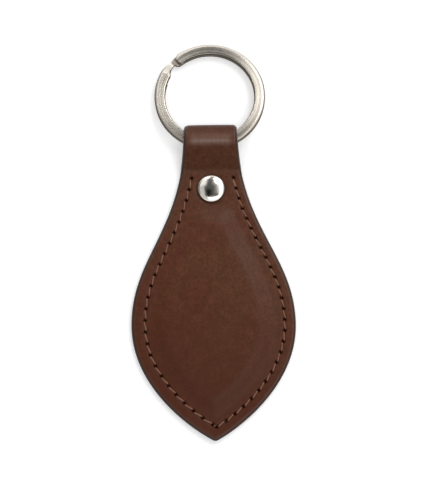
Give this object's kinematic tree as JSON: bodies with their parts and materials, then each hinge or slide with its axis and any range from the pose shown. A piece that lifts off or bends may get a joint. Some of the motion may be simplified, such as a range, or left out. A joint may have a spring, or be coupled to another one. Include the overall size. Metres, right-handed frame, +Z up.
{
  "type": "leather key ring",
  "caption": "Leaf-shaped padded leather key fob, sewn round its edge and closed with a domed rivet, its loop folded round a flat split ring",
  "frame": {"origin": "Under the middle of the key ring's box, on the surface on which it lies", "axes": "+X across the leaf, +Y along it toward the split ring, +Z up out of the leather's front"},
  "size_m": [0.0436, 0.1073, 0.0081],
  "materials": {
    "leather": "smooth chestnut leather with a fine grain and a soft sheen",
    "board": "pressed fibre board, hidden between the two layers of leather",
    "thread": "light brown twisted thread",
    "nickel": "polished nickel plate",
    "steel": "nickel-plated steel with marks that run along the wire"
  },
  "bodies": {
    "fob": {"leather_wrap": "leather", "filler_board": "board", "needle_thread": "thread", "bobbin_thread": "thread", "rivet_front_cap": "nickel", "rivet_socket": "nickel", "rivet_post": "nickel", "rivet_back_cap": "nickel"},
    "ring": {"split_ring": "steel"}
  },
  "joints": [
    {"name": "ring_swing", "type": "hinge", "parent": "fob", "child": "ring", "pos_m": [0, 0.02635, 0.00404], "axis": [1, 0, 0], "range_deg": [-157, 183]}
  ]
}
